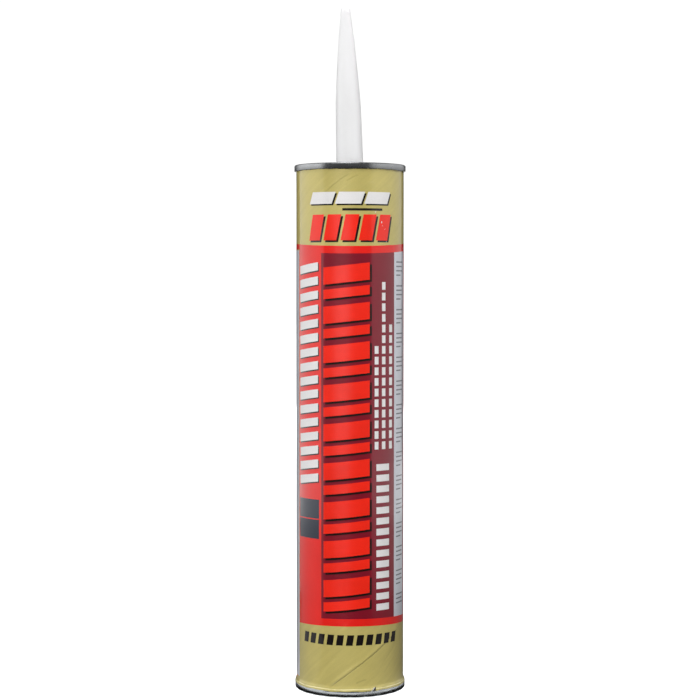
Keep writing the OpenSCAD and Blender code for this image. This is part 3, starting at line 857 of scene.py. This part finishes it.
def build_piston():
    """Hollow piston with two wiping lips, and ribs and a hub behind its crown."""
    rear, skirt, waist, lip = PISTON_Z, PISTON_R - 1.6, PISTON_R - 0.6, 2.6
    crown = CROWN_Z
    path = [(skirt, rear + 0.3), (skirt + 0.3, rear), (PISTON_R - 0.4, rear), (PISTON_R, rear + 0.4),
            (PISTON_R, rear + lip - 0.2), (PISTON_R - 0.1, rear + lip + 0.15),
            (waist, rear + lip + 0.7), (waist, crown - lip - 0.7),
            (PISTON_R - 0.1, crown - lip - 0.15), (PISTON_R, crown - lip + 0.2),
            (PISTON_R, crown - 0.8), (PISTON_R - 0.25, crown - 0.25), (PISTON_R - 0.8, crown),
            (0, crown), (0, crown - 2), (skirt - 1.4, crown - 2), (skirt - 0.5, crown - 2.35),
            (skirt, crown - 3.4)]
    make_piece("piston_cup", *lathe(path, 192), PISTON, piston_plastic, "piston_plastic", ["piston"],
               sharp=50)
    top, low = crown - 1.9, crown - 4.5
    hub = [(0, low + 0.5), (1.1, low + 0.5), (1.6, low + 0.1), (4.6, low), (5.6, low + 0.15),
           (6.0, low + 0.6), (6.05, top - 0.5), (6.5, top), (0, top)]
    verts, faces = lathe(hub, 96)
    verts, faces = list(verts), list(faces)
    for k in range(8):
        a = k * math.pi / 4
        along, side = np.array([math.cos(a), math.sin(a)]), np.array([-math.sin(a), math.cos(a)])
        section = [(-1.0, top), (-0.66, top - 0.5), (-0.6, low + 0.3), (-0.35, low), (0.35, low),
                   (0.6, low + 0.3), (0.66, top - 0.5), (1.0, top)]
        first, m = len(verts), len(section)
        stations = (5.2, 12, 20, 27.4, skirt + 0.5)
        for r in stations:
            for w, z in section:
                p = along * r + side * w
                verts.append((p[0], p[1], z))
        for i in range(len(stations) - 1):
            for j in range(m):
                a0, a1 = first + i * m + j, first + i * m + (j + 1) % m
                faces.append((a0, a1, a1 + m, a0 + m))
        faces += [tuple(first + j for j in range(m)),
                  tuple(first + (len(stations) - 1) * m + j for j in range(m))]
    make_piece("piston_ribs", verts, faces, PISTON, piston_plastic, "piston_plastic", sharp=40)


def build_charge():
    """Paste between the piston and the end, with a slightly uneven skin, and the foil over it."""
    rim = PISTON_R - 0.02
    path = [(0, CROWN_Z), (12, CROWN_Z), (24, CROWN_Z), (rim - 0.4, CROWN_Z + 0.02)]
    path += [(rim, z) for z in np.linspace(CROWN_Z + 0.5, CHARGE_TOP - 0.6, 60)]
    path += [(rim - 0.6, CHARGE_TOP - 0.1), (24, CHARGE_TOP - 0.05), (16, CHARGE_TOP - 0.3),
             (8, CHARGE_TOP - 0.1), (0, CHARGE_TOP - 0.2)]

    def warp(v):
        a, _ = polar(v)
        wall = (v[:, 2] > CROWN_Z + 1) & (v[:, 2] < CHARGE_TOP - 1)
        ripple = np.sin(5 * a + v[:, 2] * 0.11) * np.sin(3 * a - v[:, 2] * 0.07)
        return spread(v, 1 - wall * 0.0012 * (1 + ripple))

    paste = make_piece("paste", *lathe(path, 128, warp), CARTRIDGE, adhesive, "adhesive_paste",
                       ["adhesive"], sharp=60)
    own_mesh(paste)
    low, high = CHARGE_TOP + 0.05, CHARGE_TOP + 0.25
    path = [(0, low), (11.9, low), (12, low + 0.05), (12, high - 0.05), (11.9, high), (6.4, high),
            (6.0, high - 0.05), (0, high - 0.05)]
    make_piece("foil_disc", *lathe(path, 96), CARTRIDGE, foil, "seal_foil", ["inner_seal"])


build_label()
build_top_end()
build_ring()
build_nozzle()
build_tube()
build_piston()
build_charge()


# Camera, floor and light
LENS, SENSOR, EYE, LOOK_DOWN = 91.99, 36.0, (0, -1.08183, 0.24829), 2.304
FLOOR_HALF, FLOOR_LIFT = 8, 0.0004
CARD_R, CARD_H = 1.4, 1.6
DOME_R, DOME_LOW = 7.0, -0.2
WORLD_LEVEL = 0.15


def build_camera():
    """Camera fitted to the photograph's edges."""
    data = bpy.data.cameras.new("camera")
    data.sensor_width, data.lens = SENSOR, LENS
    data.clip_start, data.clip_end = 0.05, 50
    camera = bpy.data.objects.new("camera", data)
    camera.location = EYE
    camera.rotation_euler = (math.radians(90 - LOOK_DOWN), 0, 0)
    bpy.context.scene.collection.objects.link(camera)
    bpy.context.scene.camera = camera


def staged(name, verts, faces, material, seen=False, diffuse=True):
    """A thing of the studio that casts no shadow and isn't part of the object."""
    mesh = bpy.data.meshes.new(name)
    mesh.from_pydata(verts, [], faces)
    mesh.materials.append(material)
    thing = bpy.data.objects.new(name, mesh)
    bpy.context.scene.collection.objects.link(thing)
    thing.visible_camera = seen
    thing.visible_diffuse = diffuse
    thing.visible_shadow = False
    return thing


def card(name, a0, a1, radius, low, top, material, **seen):
    """Upright curved card around the axis, between two angles from the front."""
    n = 24
    angles = np.radians(np.linspace(a0, a1, n + 1))
    verts = [(radius * math.sin(a), -radius * math.cos(a), z) for a in angles for z in (low, top)]
    faces = [(2 * i, 2 * i + 2, 2 * i + 3, 2 * i + 1) for i in range(n)]
    return staged(name, verts, faces, material, **seen)


def plain(name, level, glow=0.0):
    """Even grey that may glow."""
    s = Shader(name)
    s.set(Base_Color=(level, level, level, 1), Roughness=0.9, Specular_IOR_Level=0.0,
          Emission_Color=(1, 1, 1, 1), Emission_Strength=glow)
    return s.material


def floor_card(name, a0, a1, near, far, material):
    """Flat sector on the floor around the object."""
    n = 24
    angles = np.radians(np.linspace(a0, a1, n + 1))
    verts = [(r * math.sin(a), -r * math.cos(a), FLOOR_LIFT) for a in angles for r in (near, far)]
    faces = [(2 * i, 2 * i + 2, 2 * i + 3, 2 * i + 1) for i in range(n)]
    return staged(name, verts, faces, material, diffuse=False)


def area_light(name, angle, away, height, size, power, mirrored=False, aim=0.16):
    """Large soft light that aims at a height on the axis."""
    data = bpy.data.lights.new(name, "AREA")
    data.shape, data.size, data.size_y, data.energy = "RECTANGLE", size, size, power
    light = bpy.data.objects.new(name, data)
    a = math.radians(angle)
    light.location = (away * math.sin(a), -away * math.cos(a), height)
    ahead = Vector((0, 0, aim)) - light.location
    light.rotation_euler = ahead.to_track_quat("-Z", "Y").to_euler()
    light.visible_camera, light.visible_glossy = False, mirrored
    bpy.context.scene.collection.objects.link(light)


def build_stage():
    """White floor and backdrop, cards to be mirrored, soft lights and a pale world."""
    w = FLOOR_HALF
    staged("floor", [(-w, -w, 0), (w, -w, 0), (w, w, 0), (-w, w, 0)], [(0, 1, 2, 3)],
           plain("floor_white", 0.5, 1.0), seen=True, diffuse=False)
    rings, n = 12, 32
    verts = [(DOME_R * math.cos(e) * math.cos(a), DOME_R * math.cos(e) * math.sin(a),
              DOME_R * math.sin(e) - 0.5) for e in np.linspace(DOME_LOW, math.pi / 2, rings)
             for a in np.linspace(0, 2 * math.pi, n, endpoint=False)]
    faces = [(k * n + i, k * n + (i + 1) % n, (k + 1) * n + (i + 1) % n, (k + 1) * n + i)
             for k in range(rings - 1) for i in range(n)]
    dome = staged("backdrop", verts, faces, plain("backdrop_white", 0.0, 1.05), seen=True,
                  diffuse=False)
    dome.visible_glossy = False
    # What the varnish and the metal mirror: bright sides, a dark front and dark strips behind.
    # First upright cards, with their angles and brightness, then cards on the floor, with their
    # angles, their distances from the axis and their brightness
    for name, a0, a1, level in (("left", -136, -58, 1.2), ("front", -58, 46, 0.1),
                                ("right", 46, 142, 0.8), ("back_right", 142, 172, 0.0),
                                ("back_left", -172, -136, 0.0)):
        card("card_" + name, a0, a1, CARD_R, 0.0, CARD_H, plain("card_" + name, 0.0, level),
             diffuse=False)
    for name, a0, a1, near, far, level in (
            ("left_near", -124, -58, 0.055, 0.35, 0.4), ("left", -136, -58, 0.35, 0.8, 0.5),
            ("left_far", -136, -58, 0.8, 1.4, 1.6), ("front", -58, 46, 0.055, 1.4, 0.01),
            ("right_near", 46, 150, 0.055, 0.35, 0.1), ("right", 46, 150, 0.35, 0.8, 0.45),
            ("right_far", 46, 150, 0.8, 1.4, 1.3), ("behind", 150, 224, 0.35, 1.4, 0.05),
            ("behind_near", 150, 236, 0.055, 0.35, 0.05),
            ("near_behind", 100, 260, 0.0398, 0.055, 0.15),
            ("near", -100, 100, 0.0398, 0.055, 1.3), ("foot", -180, 180, 0.0335, 0.0398, 0.0)):
        floor_card("under_" + name, a0, a1, near, far, plain("under_" + name, 0.0, level))
    # Lights, with their angle, distance, height, size and power
    area_light("key", -17, 2.2, 0.5, 1.3, 38)
    area_light("side_right", 68, 0.75, 0.95, 0.5, 4.4)
    area_light("side_left", -110, 1.8, 0.6, 1.2, 1.5)
    area_light("rear", 186, 2.2, 0.8, 1.3, 22)
    area_light("top", -20, 0.45, 1.6, 0.8, 6, mirrored=True)
    area_light("spout_left", -100, 0.34, 0.58, 0.16, 0.33, aim=0.35)
    area_light("spout_right", 100, 0.34, 0.58, 0.16, 0.33, aim=0.35)
    world = bpy.data.worlds.new("tent")
    world.use_nodes = True
    world.node_tree.nodes["Background"].inputs[0].default_value = (1, 1, 1, 1)
    world.node_tree.nodes["Background"].inputs[1].default_value = WORLD_LEVEL
    bpy.context.scene.world = world
    bpy.context.scene.view_settings.view_transform = "Standard"


build_camera()
build_stage()
